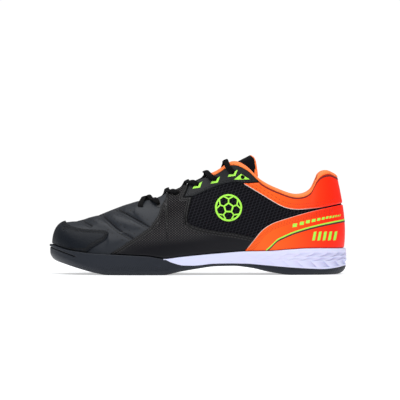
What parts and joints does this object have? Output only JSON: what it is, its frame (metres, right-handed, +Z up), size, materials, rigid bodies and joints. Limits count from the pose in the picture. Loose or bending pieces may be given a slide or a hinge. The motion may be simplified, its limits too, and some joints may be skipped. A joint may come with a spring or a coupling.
{
  "type": "indoor soccer shoe",
  "caption": "Left low-cut indoor soccer shoe with flat lacing, padded collar, toe cap, side panels, heel counter and a cup sole with a ribbed foam side.",
  "frame": {"origin": "centre of the bounding box at floor level", "axes": "toe towards -X, heel towards +X, outer side of the foot towards -Y, inner side towards +Y, +Z up"},
  "size_m": [0.2922, 0.1, 0.1165],
  "materials": {
    "black_leather": "satin",
    "embossed_leather": "satin",
    "black_rubber": "matte",
    "white_foam": "satin",
    "orange_synthetic": "satin",
    "orange_lining": "matte",
    "black_textile": "matte",
    "lace_weave": "matte"
  },
  "bodies": {
    "root": {"outsole": "black_rubber", "midsole": "white_foam", "insole": "black_textile", "upper": "black_leather", "tongue": "black_textile", "toe_cap": "black_leather", "side_panel_outer": "embossed_leather", "side_panel_inner": "embossed_leather", "eyestay_outer": "black_leather", "eyestay_inner": "black_leather", "collar_panel": "orange_synthetic", "heel_counter": "orange_synthetic", "collar_binding": "orange_lining", "lace_bar": "lace_weave", "lace_cross_1": "lace_weave", "lace_cross_2": "lace_weave", "lace_cross_3": "lace_weave", "lace_cross_4": "lace_weave", "lace_cross_5": "lace_weave"}
  },
  "joints": []
}
